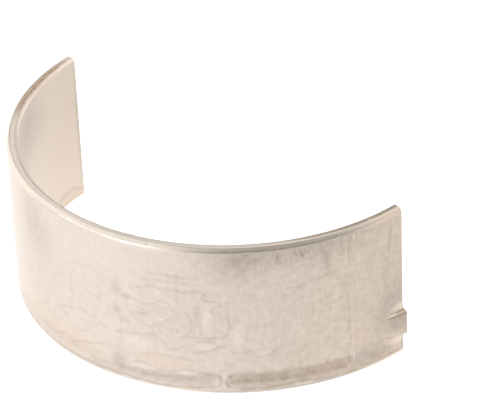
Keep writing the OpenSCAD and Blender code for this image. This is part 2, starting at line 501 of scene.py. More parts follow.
# The burl of tide lines where a pool of oil dried in steps.
BURL: tuple[Mark, ...] = (
    TideAndLightLine(BROWN, 0.19, ((7.6, 3.5), (8.8, 3.9), (9.9, 4.05), (10.4, 4.35), (11.0, 4.4), (11.8, 4.25),
                           (13.0, 4.25), (13.9, 4.35), (14.7, 4.05), (15.3, 4.25), (16.0, 4.4),
                           (17.1, 4.2))),
    TideAndLightLine(BROWN, 0.19, ((17.2, 4.3), (17.05, 3.8), (16.95, 3.4), (17.1, 3.1)), upright=True),
    TideAndLightLine(BROWN, 0.19, ((17.0, 3.2), (17.6, 3.05), (18.3, 3.05), (19.1, 2.85))),
    TideAndLightLine(BROWN, 0.20, ((19.1, 2.9), (18.8, 2.5), (18.3, 2.2), (17.95, 1.7), (18.1, 1.3),
                           (18.6, 1.0), (19.4, 0.7), (19.85, 0.3), (20.0, -0.2), (19.85, -0.8),
                           (19.55, -1.4), (19.25, -2.1)), upright=True),
    TideAndLightLine(BROWN, 0.21, ((14.0, -2.5), (14.6, -2.3), (15.4, -2.15), (16.5, -2.1), (17.5, -2.15),
                           (18.6, -2.0), (19.3, -2.1))),
    TideAndLightLine(BROWN, 0.18, ((15.5, -2.3), (16.0, -2.6), (17.0, -2.55), (17.9, -2.65), (18.4, -3.1),
                           (18.6, -3.4))),
    TideAndLightLine(BROWN, 0.18, ((15.5, 2.3), (15.9, 1.8), (16.0, 1.3), (16.0, 0.5), (15.95, -0.5),
                           (15.7, -1.3), (15.5, -1.9)), 0.42, upright=True),
    TideAndLightLine(GREY, 0.11, ((16.3, 2.6), (16.4, 1.3), (16.5, 0.0), (16.5, -1.9)), upright=True),
    TideAndLightLine(GREY, 0.14, ((14.9, 1.4), (15.25, 0.7), (15.4, -0.2), (15.3, -1.2), (15.0, -1.8),
                          (14.4, -2.3)), upright=True),
    TideAndLightLine(BROWN, 0.18, ((7.0, 1.8), (8.0, 2.0), (9.0, 2.1), (9.8, 1.8), (10.5, 2.0), (11.7, 2.3),
                           (13.2, 2.3))),
    TideAndLightLine(GREY, 0.14, ((7.6, -0.05), (8.3, 0.05), (9.2, 0.2), (10.0, 0.4), (10.9, 0.65))),
    TideAndLightLine(BROWN, 0.20, ((5.3, -3.4), (6.0, -3.2), (7.0, -3.05), (8.5, -2.85), (10.0, -2.65),
                           (10.7, -2.4), (11.3, -2.6), (11.7, -2.9), (11.9, -3.3), (12.2, -3.8),
                           (12.7, -4.1), (13.2, -4.1), (14.0, -3.8), (14.8, -3.6))),
    TideAndLightLine(BROWN, 0.20, ((14.6, -3.6), (15.1, -3.7), (15.4, -4.1), (15.9, -4.25), (16.8, -4.05),
                           (17.7, -3.9), (18.4, -3.5), (19.0, -3.25), (19.5, -3.35), (19.9, -3.9),
                           (20.4, -4.1), (21.3, -4.15), (22.0, -4.0), (22.6, -4.3), (23.0, -4.9),
                           (23.8, -4.9), (24.5, -4.7), (25.0, -4.3), (25.4, -3.8), (26.2, -3.6))),
    Rings(GREY, 0.07, (11.5, -0.3), (4.8, 3.4), 0.6, TIDE, spacing=0.3, width=0.12, stray=1.6),
    Rings(BROWN, 0.09, (9.0, 0.5), (16.0, 7.5), 0.6, TIDE, spacing=0.22, width=0.07, stray=1.5,
          stray_scale=3.2),
    Blot(GREY, 0.18, (6.1, 3.0), (1.1, 1.4), 0.9, TIDE),
    Blot(GREY, 0.16, (6.0, -0.1), (1.0, 1.3), 0.9, TIDE),
    Blot(GREY, 0.15, (7.2, 2.2), (0.9, 0.6), 0.8, TIDE),
    Blot(GREY, 0.13, (7.0, -1.4), (1.0, 0.6), 0.8, TIDE),
    TideAndLightLine(GREY, 0.12, ((9.5, 6.1), (12.0, 6.3), (14.5, 6.1), (17.5, 6.3)), 0.4, fade=0.2),
    TideAndLightLine(GREY, 0.09, ((8.5, 5.4), (12.0, 5.35), (16.0, 5.5)), fade=0.2),
    TideAndLightLine(BROWN, 0.18, ((13.8, 6.8), (13.9, 5.0), (13.9, 3.5), (13.7, 2.3)), 0.45, upright=True,
             fade=0.15),
    Blot(LIGHT, 0.10, (17.3, 0.4), (0.8, 2.6), 0.6, TIDE),
    Blot(LIGHT, 0.10, (20.9, -1.8), (1.0, 2.4), 0.6, TIDE),
    Blot(LIGHT, 0.12, (23.8, -4.2), (1.1, 0.7), 0.6, TIDE),
    Blot(LIGHT, 0.08, (16.9, -3.3), (1.4, 0.7), 0.6, TIDE),
    Blot(LIGHT, 0.08, (8.6, -4.0), (2.4, 0.9), 0.6, TIDE),
    Blot(LIGHT, 0.10, (12.2, -0.6), (1.4, 0.12), 0.9, lean=-35.0),
    Blot(LIGHT, 0.10, (12.1, 0.1), (1.2, 0.12), 0.9, lean=28.0),
    Blot(LIGHT, 0.08, (11.3, 1.3), (0.8, 0.12), 0.9, lean=-55.0),
)

# Fainter tide lines and a grey veil towards the plain end, with a painted sheen over its upper part and
# a painted highlight just under the rim.
LEFT_TIDES_AND_SHEEN: tuple[Mark, ...] = (
    TideAndLightLine(BROWN, 0.13, ((-10.4, -6.8), (-8.3, -5.8), (-6.7, -4.75), (-5.2, -3.5))),
    TideAndLightLine(BROWN, 0.15, ((-5.0, -6.3), (-4.1, -5.8), (-2.75, -5.3))),
    TideAndLightLine(BROWN, 0.15, ((-5.9, -5.8), (-4.8, -4.75), (-2.9, -4.1), (-1.6, -4.3), (-1.0, -5.5),
                           (0.4, -5.3), (1.4, -4.6))),
    TideAndLightLine(BROWN, 0.14, ((-4.6, -4.0), (-3.0, -3.4), (-1.6, -2.8), (0.2, -2.4), (1.6, -2.2))),
    TideAndLightLine(BROWN, 0.12, ((-1.0, -4.6), (0.4, -3.7), (1.6, -3.6), (2.8, -3.0), (4.2, -3.3))),
    TideAndLightLine(BROWN, 0.14, ((2.4, -6.6), (3.2, -5.9), (4.2, -5.6), (5.4, -5.9))),
    TideAndLightLine(BROWN, 0.12, ((-0.7, -1.2), (-1.0, -0.2), (-1.0, 1.0), (-0.6, 2.6), (0.6, 3.6)),
             upright=True),
    TideAndLightLine(GREY, 0.08, ((-2.0, 3.4), (-0.5, 4.2), (1.5, 4.5), (3.2, 5.0))),
    TideAndLightLine(GREY, 0.10, ((1.0, 1.4), (1.8, 0.9), (3.0, 0.7), (4.0, 1.0))),
    Rings(BROWN, 0.07, (-1.0, -2.0), (9.0, 8.0), 0.7, TIDE, 30.0, spacing=0.24, width=0.07, stray=1.0,
          stray_scale=2.5),
    Blot(GREY, 0.14, (-8.0, 6.5), (5.0, 7.0), lean=20.0),
    Blot(GREY, 0.06, (-8.0, 1.0), (8.0, 13.0), 0.9),
    # Painted sheen: a cool pale tint over the upper part, with grey that keeps it from brightening.
    Blot(PAINTED_SHEEN, 0.09, (-1.0, 7.0), (13.0, 8.0)),
    Blot(GREY, 0.07, (-1.0, 7.0), (13.0, 8.0)),
    # Painted highlight just under the rim.
    TideAndLightLine(PAINTED_SHEEN, 0.14, ((3.0, 9.75), (9.0, 9.7), (15.0, 9.75)), 0.5, fade=0.3, on=STRIP),
)

# The fan of short strokes that a rough grip left under the upper rim.
FAN: tuple[Mark, ...] = tuple(
    TideAndLightLine(GREY, strength, ((s, top), (s + bend, (top + foot) / 2), (s + lean, foot)), 0.17,
             upright=True, fade=0.3, on=STRIP)
    for s, bend, lean, top, foot, strength in (
        (24.85, -0.05, -0.05, 9.2, 7.9, 0.16),
        (25.42, -0.20, -0.34, 9.7, 8.3, 0.34),
        (25.75, -0.18, -0.22, 9.4, 7.9, 0.30),
        (26.02, -0.22, 0.00, 9.4, 7.7, 0.26),
        (26.22, -0.14, 0.04, 9.2, 7.8, 0.24),
        (26.55, 0.08, 0.18, 9.2, 7.8, 0.14),
        (27.30, 0.05, 0.10, 9.2, 7.8, 0.22),
        (27.68, 0.28, 0.66, 9.5, 8.2, 0.28),
        (28.40, 0.26, 0.56, 9.6, 8.0, 0.28),
        (29.00, 0.05, 0.15, 9.8, 8.9, 0.20),
        (29.85, 0.30, 0.68, 9.2, 8.0, 0.20),
    )
)

# Grey patches under the upper rim and beside the tang, with scratches between them, painted glints along
# the scratches, and a warm tint over the right part.
RIGHT_PATCHES_AND_GLINTS: tuple[Mark, ...] = (
    Blot(GREY, 0.11, (21.5, 8.8), (2.8, 2.6), on=TIDE),
    Blot(GREY, 0.22, (21.0, 8.9), (6.5, 4.6)),
    Blot(GREY, 0.29, (30.6, 10.4), (13.0, 5.0)),
    TideAndLightLine(GREY, 0.14, ((31.3, 9.6), (31.5, 7.4), (31.9, 6.0), (32.0, 4.0)), 0.9, upright=True,
             fade=0.3),
    TideAndLightLine(GREY, 0.15, ((27.3, 3.3), (28.0, 4.1), (29.0, 4.6), (30.0, 4.85), (31.2, 5.0),
                          (32.2, 5.7))),
    TideAndLightLine(BROWN, 0.32, ((34.45, 9.6), (34.5, 7.0), (34.45, 5.0)), 0.24, upright=True, fade=0.4,
             on=STRIP),
    # Painted glint beside the brown scratch.
    TideAndLightLine(LIGHT, 0.14, ((34.15, 9.6), (34.15, 7.0), (34.1, 6.0)), 0.2, upright=True, fade=0.4,
             on=STRIP),
    TideAndLightLine(GREY, 0.12, ((34.4, 4.0), (34.3, 0.0), (34.4, -3.0), (34.4, -7.4)), 0.35, upright=True,
             fade=0.2),
    # Painted glints along the scratches and at their ends.
    TideAndLightLine(LIGHT, 0.06, ((34.8, 1.0), (34.9, -3.0), (34.9, -7.2)), 0.3, upright=True, fade=0.2),
    Blot(LIGHT, 0.50, (35.2, 9.2), (0.16, 0.7)),
    Blot(LIGHT, 0.36, (34.95, -7.5), (0.24, 0.9), 0.8),
    Blot(LIGHT, 0.24, (33.85, -7.6), (0.14, 0.9), 0.8),
    Blot(LIGHT, 0.30, (35.35, -7.7), (0.14, 0.7), 0.8),
    TideAndLightLine(GREY, 0.13, ((40.6, 9.6), (40.4, 7.0), (40.1, 4.0), (39.8, 1.5)), 0.5, upright=True,
             fade=0.1),
    Blot(COOL, 0.29, (40.6, -2.4), (3.8, 5.6), 0.8, TIDE, -20.0),
    Blot(GREY, 0.06, (38.0, -4.6), (4.5, 3.2)),
    Blot(TAN, 0.30, (46.0, -3.0), (34.0, 36.0)),
)

# Painted highlights on the drawn-up shoulders of the tang, its grey ramp, and the dark lines above and
# below it: painted shadow under the lip's upper edge and along the ramp's lower edge, and a dark line
# down the parting edge.
TANG_LIGHT_AND_SHADE: tuple[Mark, ...] = (
    # Painted highlights on the shoulders.
    Blot(LIGHT, 0.42, (42.2, 1.5), (3.2, 0.8), 0.8, TANG),
    Blot(LIGHT, 0.50, (41.4, -3.3), (1.8, 0.7), 0.8),
    Blot(COOL, 0.32, (42.6, -5.3), (3.4, 2.1), 0.6),
    TideAndLightLine(GREY, 0.65, ((42.35, -7.3), (42.35, -8.4), (42.35, -9.7)), 0.45, upright=True, fade=0.15,
             on=STRIP),
    # Painted shadow lines under the lip's upper edge and along the ramp's lower edge.
    TideAndLightLine(BROWN, 0.85, ((39.6, -4.2), (41.0, -4.25), (42.6, -4.25)), 0.24, 0.08, fade=0.2, on=STRIP),
    TideAndLightLine(BROWN, 0.30, ((38.8, -6.7), (40.0, -7.05), (41.4, -7.35)), 0.3, fade=0.2),
)

# Old oil that browned both ends of the upper rim, flecks on it, and on its two chamfers painted
# highlights and painted shade that dims the highlights.
RIM_STAINS_AND_PAINTED_LIGHT: tuple[Mark, ...] = (
    Blot(BROWN, 0.84, (37.0, 0.92), (15.0, 0.48), 0.6, RIM),
    Blot(GREY, 0.26, (35.0, 0.92), (10.0, 0.48), 0.6, RIM),
    Blot(BROWN, 0.84, (-34.0, 0.78), (9.8, 0.6), 0.5, RIM),
    Blot(TAN, 0.40, (-34.0, 0.9), (10.0, 0.9), 0.6, RIM),
    Blot(BROWN, 0.80, (38.0, 1.35), (8.0, 0.35), 0.5, RIM),
    Blot(COOL, 0.24, (15.0, 0.78), (14.0, 0.6), 0.6, RIM),
    Blot(COOL, 0.16, (5.0, 0.5), (7.0, 0.8), 0.6, RIM),
    Blot(GREY, 0.14, (23.5, 0.78), (4.0, 0.5), 0.6, RIM),
    Blot(BROWN, 0.50, (-10.0, 1.35), (20.0, 0.3), 0.6, RIM),
    TideAndLightLine(SOOT, 0.35, ((-41.5, 0.95), (-37.0, 0.98), (-33.0, 0.95), (-28.0, 0.9)), 0.22, fade=0.15,
             on=RIM),
    Blot(SOOT, 0.40, (41.6, 1.05), (2.0, 0.22), 0.8, RIM),
    TideAndLightLine(SOOT, 0.40, ((27.0, 1.1), (35.0, 1.1), (42.3, 1.1)), 0.2, fade=0.1, on=RIM),
    TideAndLightLine(SOOT, 0.35, ((-31.0, 1.1), (-24.0, 1.12), (-12.0, 1.12)), 0.14, fade=0.15, on=RIM),
    Blot(GREY, 0.25, (12.0, 1.4), (30.0, 0.35), 0.5, RIM),
    # Painted shade that dims the highlight on the outer chamfer and its round, with a painted highlight
    # in a cool pale tint between.
    Blot(COOL, 0.14, (-2.0, 0.1), (8.0, 0.4), 0.8, RIM),
    TideAndLightLine(COOL, 0.26, ((-9.0, 0.03), (-3.0, 0.03), (5.0, 0.03)), 0.14, fade=0.3, on=RIM),
    TideAndLightLine(PAINTED_SHEEN, 0.24, ((4.0, 0.05), (9.0, 0.04), (14.0, 0.05)), 0.18, fade=0.35, on=RIM),
    TideAndLightLine(COOL, 0.50, ((15.0, 0.03), (27.0, 0.03), (39.0, 0.03)), 0.15, fade=0.2, on=RIM),
    TideAndLightLine(GREY, 0.58, ((-16.0, 1.1), (0.0, 1.12), (16.0, 1.12), (32.0, 1.1)), 0.24, fade=0.1,
             on=RIM),
    # Painted highlights on the outer chamfer, and on the inner chamfer further in.
    Blot(LIGHT, 0.50, (-26.0, 0.2), (7.0, 0.3), 0.8, RIM),
    Blot(LIGHT, 0.20, (12.0, 0.2), (4.5, 0.3), 0.8, RIM),
    Blot(LIGHT, 0.16, (-35.0, 1.42), (14.0, 0.18), 0.6, RIM),
    TideAndLightLine(LIGHT, 0.22, ((-34.0, 1.42), (-27.0, 1.42), (-19.0, 1.42)), 0.13, fade=0.3, on=RIM),
    TideAndLightLine(SOOT, 0.30, ((-31.0, 0.5), (-24.0, 0.47), (-14.0, 0.45), (-4.0, 0.45)), 0.12, fade=0.2,
             on=RIM),
    Blot(BROWN, 0.20, (35.0, 0.2), (5.0, 0.3), 0.8, RIM),
    Blot(TAN, 0.35, (40.5, 0.2), (5.0, 0.4), 0.8, RIM),
    Blot(SOOT, 0.50, (10.4, 0.2), (0.22, 0.16), 0.6, RIM),
) + tuple(
    Blot(SOOT, 0.60, (s, depth), (half, 0.13), 0.8, RIM)
    for s, depth, half in (
        (-40.6, 0.75, 0.3), (-39.2, 1.08, 0.7), (-38.3, 0.85, 0.4), (-37.7, 1.05, 0.5),
        (-37.2, 0.6, 0.3), (-36.7, 0.7, 0.4), (-35.7, 1.08, 0.7), (-35.0, 0.9, 0.3),
        (-34.0, 0.63, 0.5), (-33.3, 1.1, 0.5), (-32.6, 1.0, 0.6), (-31.6, 0.6, 0.4),
        (-30.8, 0.8, 0.5), (-29.6, 1.08, 0.5), (-28.4, 0.9, 0.4), (-3.0, 1.12, 0.4),
        (2.6, 1.12, 0.6), (8.2, 1.12, 0.5), (11.8, 1.12, 0.4), (15.2, 1.12, 0.6),
        (19.0, 1.12, 0.5), (22.0, 1.1, 0.7), (24.2, 1.1, 0.4), (26.4, 1.1, 0.5),
    )
)

# Tin-flashed steel: a soft warm grey sheen, with the tide marks of dried oil, and with painted
# highlights, painted sheen and painted shade towards the upper rim and by the tang.
TINNED_STEEL = Finish("tin_flashed_steel", "DED2C8", 0.36,
                      (((0.9, 1.1), 0.38), ((2.4, 0.4), 0.22), ((0.6, 0.3), 0.10)),
                      LOWER_BANDS + BURL + LEFT_TIDES_AND_SHEEN + FAN + RIGHT_PATCHES_AND_GLINTS + TANG_LIGHT_AND_SHADE)
# Bored lining: a smooth cream grey with a dried line near its lower rim, painted shade along its plain
# end and over its upper part, and with the fine lines of the boring tool, which are drawn three to a
# millimetre to show.
BORED_LINING = Finish("bored_lining", "C9BCB0", 0.36, (((0.3, 0.3), 0.08), ((0.1, 3.0), 0.06)), (
    TideAndLightLine(BROWN, 0.25, ((-42.3, -9.0), (-41.4, -8.8), (-39.5, -8.2), (-37.4, -8.5), (-32.0, -8.8),
                           (-20.0, -8.4), (-7.0, -8.8), (6.0, -8.5), (19.0, -8.9), (31.0, -8.5),
                           (42.3, -8.7)), 0.55, fade=0.01),
    TideAndLightLine(TAN, 0.30, ((-42.3, -9.6), (0.0, -9.5), (42.3, -9.6)), 1.1, fade=0.01),
    Blot(TAN, 0.18, (-38.0, 0.0), (14.0, 18.0), 0.8),
    # Painted shade along the plain end.
    Blot(COOL, 0.32, (-42.4, 0.0), (0.9, 14.0), 0.9),
    # Painted shade over the upper part, standing for a darker reflection.
    Blot(GREY, 0.30, (-29.0, 7.0), (9.0, 7.0)),
))
# Machined edge: a brighter cut, browned where old oil stayed on the rim, with painted highlights and
# painted shade on its chamfers.
MACHINED_EDGE = Finish("machined_edge", "CFC3B7", 0.28, (((1.0, 1.0), 0.14),), RIM_STAINS_AND_PAINTED_LIGHT)
# Sheared steel: the torn side of the lip, tan and dull, with painted shade along its foot and lip edge,
# dark at the parting face, and a painted highlight in its middle.
SHEARED_STEEL = Finish("sheared_steel", "CFBEA6", 0.45, (((1.0, 1.0), 0.10),), (
    # Painted shade along the foot and the lip edge.
    Blot(BROWN, 0.95, (42.4, 1.0), (2.6, 0.4), 0.5, TANG),
    Blot(BROWN, 0.30, (42.4, 0.0), (2.2, 0.2), 0.6, TANG),
    Blot(BROWN, 0.70, (42.5, 0.5), (0.4, 1.2), 0.8, TANG),
    # Painted highlight in the middle of the torn side.
    Blot(LIGHT, 0.65, (39.6, 0.5), (1.9, 1.6), 0.5, TANG),
))


@dataclass(frozen=True)
class BearingShell:
    """The half shell: a chamfered strip bent to an arc, with a tang pressed out at one end.

    Lengths are in metres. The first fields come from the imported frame, the next ones are the
    strip's own details, and the last ones say how the mesh is laid out.
    """

    back_radius: float
    bore_radius: float
    half_width: float
    end_lean: float
    tang_height: float
    tang_z: float

    back_chamfer: float = 0.4 * MM
    bore_chamfer: float = 0.35 * MM
    edge_round: float = 0.07 * MM
    back_round: float = 0.2 * MM
    parting_round: float = 0.15 * MM
    fine_round: float = 0.03 * MM

    tang_width: float = 3.0 * MM
    tang_length: float = 3.0 * MM
    flank_run: float = 0.3 * MM
    shoulder_width: float = 1.0 * MM
    shoulder_length: float = 2.5 * MM
    shoulder_height: float = 0.15 * MM
    crease_round: float = 0.06 * MM
    punch_width: float = 2.4 * MM
    punch_length: float = 2.7 * MM
    punch_depth: float = 0.65 * MM
    relief_length: float = 6.0 * MM
    relief_depth: float = 0.03 * MM

    corner_steps: int = 5
    arc_step: float = 0.36 * MM
    tang_step: float = 0.08 * MM
    round_steps: int = 8
    lip_lines: int = 16
    flank_lines: int = 9
    shoulder_lines: int = 9
    lower_lines: int = 5
    upper_lines: int = 13
    closed_share: float = 0.1
    share_beyond: float = 3.0
    spread_length: float = 6.0 * MM
    least_opening: float = 1e-6
    sharp_angle: float = math.radians(35)

    @classmethod
    def from_frame(cls, frame: dict[str, Any]) -> "BearingShell":
        """Reads the shell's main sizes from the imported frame.


        Returns:
            A shell with the solid's own radii, width, lean and tang.
        """
        mounts = {mount["name"]: mount for mount in frame["record"]["mounts"]}
        low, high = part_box("bearing_shell")
        tang = Vector(mounts["locating_tang"]["pos_m"])
        return cls(
            back_radius=-low.y,
            bore_radius=mounts["journal_surface"]["dims"]["r_mm"] * MM,
            half_width=(high.z - low.z) / 2,
            end_lean=math.asin(mounts["parting_face_tang"]["axis"][0]),
            tang_height=math.hypot(tang.x, tang.y) + low.y,
            tang_z=tang.z,
        )

    @property
    def end_turn(self) -> float:
        """Angle from the crown to each parting face."""
        return math.pi / 2 - self.end_lean

    def stations(self) -> np.ndarray:
        """Places cross sections along the arc, close together at the tang and at both ends.

        Near an end they stand at the squares of even steps, so that a small round edge is smooth.

        Returns:
            Angles from the crown, from the plain end to the tang end.
        """
        edge = self.parting_round * np.linspace(0, 1, self.round_steps + 1) ** 2
        tang_end = self.tang_length + 2 * self.tang_step
        tang = np.arange(self.parting_round + self.tang_step, tang_end, self.tang_step)
        whole = 2 * self.end_turn * self.back_radius
        plain_start = tang_end + self.tang_step
        plain_end = whole - self.parting_round - self.arc_step
        plain = np.linspace(plain_start, plain_end, round((plain_end - plain_start) / self.arc_step))
        from_tang_end = np.concatenate([edge, tang, plain, whole - edge[::-1]])
        return self.end_turn - from_tang_end[::-1] / self.back_radius

    def grid_lines(self) -> tuple[np.ndarray, np.ndarray, np.ndarray, np.ndarray]:
        """Works out where the lengthwise grid lines of the back and the bore run.

        At the parting face they follow the lip, its sheared sides and its shoulders. From there they
        run straight to where the ramp begins, where the sides have closed up, and then spread out
        evenly.

        Returns:
            Heights at the parting face, at the ramp's beginning and far from the tang, and each
            line's share across the side, as Place.TANG has it.
        """
        lip = self.tang_width / 2
        foot = lip + self.flank_run
        rest = foot + self.shoulder_width
        closed = lip + self.closed_share * self.flank_run
        inset = max(self.back_chamfer + self.back_round, self.bore_chamfer + self.edge_round)
        inset += self.edge_round
        low, high = inset - self.half_width - self.tang_z, self.half_width - inset - self.tang_z

        counts = (self.flank_lines, self.shoulder_lines, self.lower_lines, self.upper_lines)
        flank, shoulder, below, above = (np.linspace(0, 1, count)[1:] for count in counts)
        across = lip * np.sin(np.linspace(0, math.pi / 2, self.lip_lines))
        outer_low, outer_high = (rest + below * (-low - rest))[::-1], rest + above * (high - rest)
        levels = []
        for edge in (foot, closed):
            beside = [lip + flank * (edge - lip), edge + shoulder * (rest - edge)]
            half = np.concatenate([across, *beside])
            whole = np.concatenate([-outer_low, -half[:0:-1], half, outer_high])
            levels.append(whole + self.tang_z)
        near, shut = levels
        side_share = np.concatenate([(across - lip) / self.flank_run, flank, 1 + shoulder])
        outer_share = [np.full(len(outer), self.share_beyond) for outer in (below, above)]
        share = [outer_share[0], side_share[:0:-1], side_share, outer_share[1]]
        even = np.linspace(near[0], near[-1], len(near))
        return near, shut, even, np.concatenate(share)

    def heights(self, turn: np.ndarray) -> np.ndarray:
        """Heights of the lengthwise grid lines at each station.

        Args:
            turn: Angles from the tang's parting face.

        Returns:
            An array (stations, lines).
        """
        near, shut, even, _ = self.grid_lines()
        arc = (turn * self.back_radius)[:, None]
        opened = np.clip(1 - arc / self.tang_length, 0, 1)
        t = np.clip((arc - self.tang_length) / self.spread_length, 0, 1)
        spread = t * t * (3 - 2 * t)
        return shut + opened * (near - shut) + spread * (even - shut)

    def section(self) -> tuple[np.ndarray, np.ndarray]:
        """Works out the closed outline of the strip's cross section.

        Each of the eight corners is cut by a parabola that touches both of its edges, a longer one
        where the back ends. The grid lines of the back stand between the second and third corner,
        and those of the bore between the sixth and seventh.

        Returns:
            Points (radius, height) in order round the outline, from the lower rim up the back, and
            a side for each point: 1 on the back, -1 on the bore and 0 elsewhere.
        """
        out_r, in_r, top = self.back_radius, self.bore_radius, self.half_width
        out_c, in_c = self.back_chamfer, self.bore_chamfer
        corners = np.array(
            [
                (out_r - out_c, -top),
                (out_r, out_c - top),
                (out_r, top - out_c),
                (out_r - out_c, top),
                (in_r + in_c, top),
                (in_r, top - in_c),
                (in_r, in_c - top),
                (in_r + in_c, -top),
            ]
        )
        to_last = np.roll(corners, 1, axis=0) - corners
        to_next = np.roll(corners, -1, axis=0) - corners
        reach = np.full((len(corners), 1), self.edge_round)
        reach[1:3] = self.back_round
        start = corners + reach * to_last / np.linalg.norm(to_last, axis=1, keepdims=True)
        end = corners + reach * to_next / np.linalg.norm(to_next, axis=1, keepdims=True)
        t = np.linspace(0, 1, self.corner_steps + 1)[None, :, None]
        rounds = (1 - t) ** 2 * start[:, None] + 2 * t * (1 - t) * corners[:, None] + t**2 * end[:, None]

        lines = self.grid_lines()[2]
        back = np.stack([np.full_like(lines, out_r), lines], axis=1)
        bore = np.stack([np.full_like(lines, in_r), lines[::-1]], axis=1)
        pieces = [*rounds[:2], back, *rounds[2:6], bore, *rounds[6:]]
        sides = [0, 0, 1, 0, 0, 0, 0, -1, 0, 0]
        outline = np.concatenate(pieces)
        side = np.concatenate([np.full(len(piece), mark) for piece, mark in zip(pieces, sides)])
        return outline, side

    def ramp_radius(self, turn: np.ndarray, radius: float, height: float, length: float) -> np.ndarray:
        """Radius at which a straight ramp stands, seen from the axis.

        The ramp is the line from a point above the surface at the parting face to the point on the
        surface an arc length away. A ray from the axis meets it where the two cross products agree.

        Args:
            turn: Angles from the parting face.
            radius: Radius of the surface that the ramp leaves.
            height: Height of the ramp at the parting face.
            length: Arc length from the parting face to where the ramp runs out.

        Returns:
            Radius for each angle, no less than at the ramp's far end.
        """
        phi = length / radius
        near = np.minimum(turn, phi)
        along = radius * np.array([math.cos(phi), -math.sin(phi)]) - (radius + height, 0.0)
        return (radius + height) * along[1] / (np.cos(near) * along[1] + np.sin(near) * along[0])

    def side_radius(
        self, turn: np.ndarray, off: np.ndarray, length: float, ends: np.ndarray
    ) -> np.ndarray:
        """Radius at which a slanting plane beside the tang stands, seen from the axis.

        The plane passes a point of the back beside the ramp, and two points in the parting face. A
        ray from the axis meets it where the normal's product with both points agrees.

        Args:
            turn: Angles from the parting face.
            off: Distances from the tang's middle, up or down.
            length: Arc length from the parting face to the point of the back.
            ends: Two points (height above the back, distance from the tang's middle).

        Returns:
            Radius for each angle and distance.
        """
        phi = length / self.back_radius
        back = self.back_radius
        far = np.array([back * math.cos(phi), -back * math.sin(phi), self.tang_width / 2])
        first, second = (np.array([back + rise, 0.0, across]) for rise, across in ends)
        normal = np.cross(first - far, second - far)
        near = np.minimum(turn, 2 * phi)
        return (normal @ far - normal[2] * off) / (normal[0] * np.cos(near) - normal[1] * np.sin(near))

    def back_surface(self, turn: np.ndarray, z: np.ndarray) -> np.ndarray:
        """Radius of the back: the bare arc, the shoulders beside the tang, and its lip.

        The lip is the lower of its ramp and its sheared sides, with the crease rounded: where two
        surfaces come within a round's width they meet in a parabola.

        Args:
            turn: Angles from the tang's parting face.
            z: Heights, of a shape that combines with the angles.

        Returns:
            Radius of the back at each angle and height.
        """
        off = np.abs(z - self.tang_z)
        lip, foot = self.tang_width / 2, self.tang_width / 2 + self.flank_run
        flank_ends = np.array([(self.tang_height, lip), (self.shoulder_height, foot)])
        shoulder_ends = np.array([(self.shoulder_height, foot), (0.0, foot + self.shoulder_width)])
        ramp = self.ramp_radius(turn, self.back_radius, self.tang_height, self.tang_length)
        flank = self.side_radius(turn, off, self.tang_length, flank_ends)
        drawn = 2 * self.shoulder_height
        low_ramp = self.ramp_radius(turn, self.back_radius, drawn, self.shoulder_length)
        shoulder = self.side_radius(turn, off, self.shoulder_length, shoulder_ends)

        opened = np.clip(1 - turn * self.back_radius / self.tang_length, self.least_opening, 1)
        ease = self.crease_round * opened
        gap = np.clip(1 - np.abs(ramp - flank) / ease, 0, 1)
        raised = np.minimum(ramp, flank) - ease * gap**2 / 4
        plain = np.maximum(self.back_radius, np.minimum(low_ramp, shoulder))
        gap = np.clip(1 - np.abs(raised - plain) / ease, 0, 1)
        formed = np.maximum(raised, plain) + ease * gap**2 / 4
        return np.where(turn * self.back_radius < self.tang_length, formed, self.back_radius)

    def bore_surface(self, turn: np.ndarray, z: np.ndarray) -> np.ndarray:
        """Radius of the running surface: the bare arc, its relief at both ends, and the punch mark.

        The punch mark is a ramp inside a round-nosed outline, with its edge eased over a grid step.

        Args:
            turn: Angles from the tang's parting face.
            z: Heights, of a shape that combines with the angles.

        Returns:
            Radius of the running surface at each angle and height.
        """
        arc = turn * self.bore_radius
        whole = 2 * self.end_turn * self.bore_radius
        from_end = np.minimum(arc, whole - arc)
        relief = self.relief_depth * np.clip((self.relief_length - from_end) / self.arc_step, 0, 1)

        nose = self.punch_width / 2
        past = np.maximum(arc - (self.punch_length - nose), 0)
        half = np.sqrt(np.maximum(nose**2 - past**2, 0))
        inside = np.clip((half - np.abs(z - self.tang_z)) / self.tang_step, 0, 1)
        ramp = self.ramp_radius(turn, self.bore_radius, self.punch_depth, self.punch_length)
        mark = np.where(arc < self.punch_length, (ramp - self.bore_radius) * inside, 0.0)
        return self.bore_radius + np.maximum(relief + 0 * z, mark)

    def points(self) -> tuple[np.ndarray, dict[Place, np.ndarray]]:
        """Carries the section along the arc.

        A point stands at angle a from the crown as (r sin a, -r cos a, z). Near a parting face each
        point draws in along the section's normal by a quarter round of its own radius.

        Returns:
            Points as an array (stations, outline, 3), and arrays of the same shape for each place.
        """
        outline, side = self.section()
        turn = self.stations()
        tangent = np.roll(outline, -1, axis=0) - np.roll(outline, 1, axis=0)
        normal = np.stack([tangent[:, 1], -tangent[:, 0]], axis=1)
        normal /= np.linalg.norm(normal, axis=1, keepdims=True)

        from_tang = (self.end_turn - turn)[:, None]
        lines = self.heights(from_tang[:, 0])
        z = np.repeat(outline[None, :, 1], len(turn), axis=0)
        z[:, side == 1] = lines
        z[:, side == -1] = lines[:, ::-1]
        radius = np.repeat(outline[None, :, 0], len(turn), axis=0)
        radius[:, side == 1] = self.back_surface(from_tang, lines)
        radius[:, side == -1] = self.bore_surface(from_tang, lines[:, ::-1])

